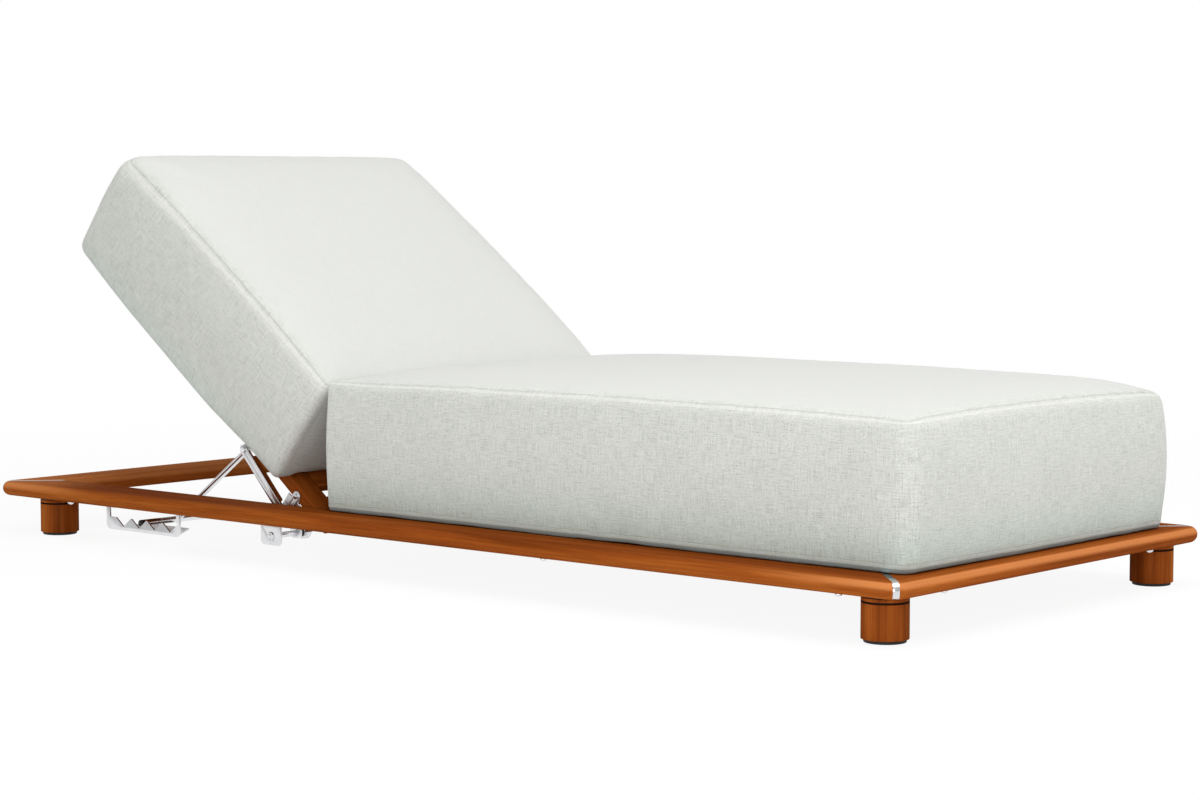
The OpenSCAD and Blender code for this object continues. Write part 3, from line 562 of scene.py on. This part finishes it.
def subdivided(piece):
    smooth = piece.modifiers.new("smooth", "SUBSURF")
    smooth.levels = smooth.render_levels = 1
    deps = bpy.context.evaluated_depsgraph_get()
    piece.data = bpy.data.meshes.new_from_object(piece.evaluated_get(deps), preserve_all_data_layers=True,
                                                 depsgraph=deps)
    piece.modifiers.remove(smooth)
    return piece


def read_values(source, name, width=1):
    values = np.zeros(len(source) * width)
    source.foreach_get(name, values)
    return values.reshape(-1, width) if width > 1 else values


def sew(piece):
    """Raises the seam folds, sinks the cover beside them and puckers it a little."""
    data = piece.data
    seams = [read_values(data.attributes[label].data, "value") for label in ("seam_off", "low_off")]
    places = read_values(data.vertices, "co", 3)
    normals = read_values(data.vertices, "normal", 3)
    offset = np.zeros(len(places))
    for away, share in zip(seams, (1.0, 0.8)):
        ridge = 0.35 * MM * np.exp(-(away / (1.8 * MM)) ** 2)
        groove = -0.3 * MM * np.exp(-((away - 5.0 * MM) / (1.8 * MM)) ** 2)
        offset += share * (ridge + groove)
    near = np.minimum(np.abs(seams[0]), np.abs(seams[1]))
    for i in np.nonzero(near < 60 * MM)[0]:
        p = Vector(places[i])
        fine = noise.noise(p * 58) * 0.5 * MM * math.exp(-(near[i] / (11 * MM)) ** 1.3)
        broad = noise.noise(p * 21 + Vector((4, 9, 2))) * MM * math.exp(-(near[i] / (30 * MM)) ** 2)
        offset[i] += fine + broad
    for i, place in enumerate(places):
        offset[i] += noise.noise(Vector(place) * 5.5) * 1.1 * MM
    places += normals * offset[:, None]
    data.vertices.foreach_set("co", places.ravel())
    data.polygons.foreach_set("use_smooth", [True] * len(data.polygons))
    data.update()
    return piece


def placed(piece, matrix, body, node, cloth):
    piece.data.transform(matrix)
    piece.data.update()
    piece.data.materials.clear()
    piece.data.materials.append(cloth)
    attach(piece, body)
    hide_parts(node)
    return piece


# White studio: floor, sky and lamps
FLOOR_REACH = 40
SKY_LIGHT = 0.59


def stage_floor():
    mesh = bmesh.new()
    bmesh.ops.create_grid(mesh, x_segments=1, y_segments=1, size=FLOOR_REACH)
    data = bpy.data.meshes.new("studio_floor")
    mesh.to_mesh(data)
    mesh.free()
    floor = bpy.data.objects.new("studio_floor", data)
    bpy.context.scene.collection.objects.link(floor)
    s = Shader("studio_white", Base_Color=grey(0.86), Roughness=0.9, Specular_IOR_Level=0.1)
    rays = s.add("LightPath").outputs
    seen = s.math("MAXIMUM", rays["Is Glossy Ray"], rays["Is Transmission Ray"])
    seen = s.math("MAXIMUM", rays["Is Camera Ray"], seen)
    away = s.add("VectorMath", {0: s.object_place()}, operation="LENGTH").outputs["Value"]
    # Near the lounger the floor keeps a little of its shadow, and further out it is plain white
    share = s.span(away, 1.2, 3.6, 0.92, 1.0)
    glow = s.add("Emission", {"Color": WHITE, "Strength": 1.0}).outputs[0]
    both = s.add("MixShader", {0: s.math("MULTIPLY", seen, share), 1: s.surface.outputs[0], 2: glow})
    s.tree.links.new(both.outputs[0], s.tree.nodes["Material Output"].inputs["Surface"])
    floor.data.materials.append(s.material)


def sky():
    world = bpy.data.worlds.new("studio_sky")
    bpy.context.scene.world = world
    world.use_nodes = True
    tree = world.node_tree
    back = tree.nodes["Background"]
    back.inputs["Color"].default_value = WHITE
    rays = tree.nodes.new("ShaderNodeLightPath").outputs
    seen = tree.nodes.new("ShaderNodeMath")
    seen.operation = "MAXIMUM"
    tree.links.new(rays["Is Camera Ray"], seen.inputs[0])
    tree.links.new(rays["Is Transmission Ray"], seen.inputs[1])
    strength = tree.nodes.new("ShaderNodeMapRange")
    strength.inputs[3].default_value = SKY_LIGHT
    strength.inputs[4].default_value = 1.0
    tree.links.new(seen.outputs[0], strength.inputs[0])
    tree.links.new(strength.outputs[0], back.inputs["Strength"])


def lamp(name, place, aim, size, power):
    data = bpy.data.lights.new(name, "AREA")
    data.shape = "RECTANGLE"
    data.size, data.size_y = size
    data.energy = power
    made = bpy.data.objects.new(name, data)
    made.location = place
    made.rotation_euler = (Vector(aim) - Vector(place)).to_track_quat("-Z", "Y").to_euler()
    bpy.context.scene.collection.objects.link(made)


set_camera()

SLOPE = math.radians(38)
# Height of the dark line painted round the legs, for the spacer ring and the painted shade under the rail
LEG_RING_AND_SHADE_HEIGHT = 60.5 * MM
ALONG_X = (0, 0, 0)
ALONG_Y = (0, 0, math.radians(90))
UPRIGHT = (0, math.radians(90), 0)
SLOPED = (0, -SLOPE, 0)
RAIL_TONES = ("6F340D", "914717", "9F521C", "B86B2B", "5A270A")
CROSS_TONES = ("73370E", "964A18", "A5561E", "BF702E", "5A270A")
LEG_TONES = ("72360F", "964B19", "A4561E", "BA6D2E", "55280D")
rail_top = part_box("side_rail_near")[1].z
# The side and end rails get painted shade on their tops and a painted highlight at their ends
teak_x = teak("teak_along_length", ALONG_X, RAIL_TONES, painted_light_top=rail_top)
teak_y = teak("teak_across", ALONG_Y, CROSS_TONES, (0.7, 0.2, 0.4))
teak_end = teak("teak_end_rails", ALONG_Y, CROSS_TONES, (0.7, 0.2, 0.4), painted_light_top=rail_top)
teak_back = teak("teak_of_the_back", SLOPED, RAIL_TONES, (0.3, 1.1, 0.5))
teak_leg = teak("teak_of_the_legs", UPRIGHT, LEG_TONES, (0.1, 0.6, 1.9), line_at=LEG_RING_AND_SHADE_HEIGHT)
steel_plain = polished_steel("steel_polished", (220, 220, 60))
steel_plate = polished_steel("steel_plate", (60, 300, 300), 0.2)
black_cap = black_moulded("plastic_black", 0.012, 0.42, 900)
black_rubber = black_moulded("rubber_black", 0.016, 0.62, 1400)

# Teak pieces with their wood and the rounding of their arrises in mm
TEAK_PIECES = {
    "side_rail_near": (teak_x, 1.6), "side_rail_far": (teak_x, 1.6), "foot_rail": (teak_end, 1.6),
    "head_rail": (teak_end, 1.6), "slat_ledgers": (teak_x, 1.5), "seat_slats": (teak_y, 2.5),
    "seat_cross_rail": (teak_y, 2.5), "back_stile_near": (teak_back, 3), "back_stile_far": (teak_back, 3),
    "back_bottom_rail": (teak_y, 2), "back_top_rail": (teak_y, 2), "back_slats": (teak_y, 2.5),
    "arm_batten_near": (teak_back, 2), "arm_batten_far": (teak_back, 2),
}
LEGS = ("leg_foot_near", "leg_foot_far", "leg_head_near", "leg_head_far")
PLATES = ("rack_near", "rack_far", "hinge_bracket_near", "hinge_bracket_far", "heel_plate_near",
          "heel_plate_far", "arm_near", "arm_far", "knuckle_ears")
TURNED = ("hinge_bolt_near", "hinge_bolt_far", "arm_bolts", "knuckle_pins", "rail_cap_screws", "bail",
          "rack_screws", "bracket_screws", "hinge_nuts")
for node, (wood, rounding) in TEAK_PIECES.items():
    eased(node, wood, rounding * MM)
for node in LEGS:
    eased(node, teak_leg, 2.2 * MM, 3)
for node in PLATES:
    eased(node, steel_plate, 0.7 * MM)
for node in TURNED:
    eased(node, steel_plain, 0.6 * MM)
eased("corner_inlays", steel_plain, 0.4 * MM)
eased("bail_end_caps", black_cap, 1.2 * MM, 3)
eased("leg_spacers", black_cap, 0.4 * MM)
eased("leg_glides", black_rubber, 1.2 * MM, 3)
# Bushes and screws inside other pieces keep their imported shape
for node, material in (("hinge_bushes", black_cap), ("leg_screws", steel_plain)):
    frame["nodes"][node].data.materials.clear()
    frame["nodes"][node].data.materials.append(material)

cloth = cover_cloth("melange_cover")
CLOTH_GIVE = 22 * MM
low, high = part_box("seat_cushion")
seat = Cushion(
    length=high.x - low.x, width=high.y - low.y, thick=0.226, cuts=(86, 54, 22),
    bulges=(0.017, -0.004, 0.011), crown=0.025, bow=0.006, top_r=(0.020, 0.015, 0.015),
    low_r=(0.008, 0.008, 0.008), corner_r=(0.008, 0.018), low_seam=0.0105,
    seam_in=((-0.001, -0.003), (0.0015, 0.002), (-0.001, -0.003)), fullness=(18, 5, 8),
    tight_corner=0.5,
)
seat_piece = sew(subdivided(seat.inflate("seat_cushion_cover", CLOTH_GIVE)))
placed(seat_piece, Matrix.Translation(((low.x + high.x) / 2, 0, low.z)), "base", "seat_cushion", cloth)

# The back cushion lies on the panel, from its start up the slope and off the hinge's axis
HINGE = Vector((-0.306, 0, 0.050))
UP_SLOPE = Vector((-math.cos(SLOPE), 0, math.sin(SLOPE)))
OFF_SLOPE = Vector((math.sin(SLOPE), 0, math.cos(SLOPE)))
BACK_LENGTH, BACK_START, BACK_OFF = 0.692, 0.083, 0.0483
back = Cushion(
    length=BACK_LENGTH, width=high.y - low.y, thick=0.219, cuts=(54, 54, 22),
    bulges=(-0.004, -0.004, 0.014), crown=0.028, bow=0.003, top_r=(0.020, 0.013, 0.030),
    low_r=(0.028, 0.007, 0.019), corner_r=(0.018, 0.036), low_seam=-0.03,
    seam_in=((0.001, -0.006), (0.002, 0.002), (0.001, -0.006)), fullness=(11, 4, 16), taper=0.017,
    droop=(0.016, 0.322, 0.4),
)
back_piece = sew(subdivided(back.inflate("back_cushion_cover", CLOTH_GIVE)))
centre = HINGE + UP_SLOPE * (BACK_START + BACK_LENGTH / 2) + OFF_SLOPE * BACK_OFF
axes = Matrix((UP_SLOPE, Vector((0, -1, 0)), OFF_SLOPE)).transposed().to_4x4()
placed(back_piece, Matrix.Translation(centre) @ axes, "back_cushion", "back_cushion", cloth)
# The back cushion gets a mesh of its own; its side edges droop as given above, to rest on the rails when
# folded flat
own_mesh(back_piece)

LAMP_AIM = (0, 0, 0.2)
stage_floor()
sky()
lamp("key_overhead", (1.7, -0.4, 3.9), LAMP_AIM, (3.4, 3.0), 134)
lamp("fill_near_side", (2.4, -4.2, 1.0), LAMP_AIM, (3.0, 1.8), 42)
bpy.context.scene.view_settings.view_transform = "Standard"
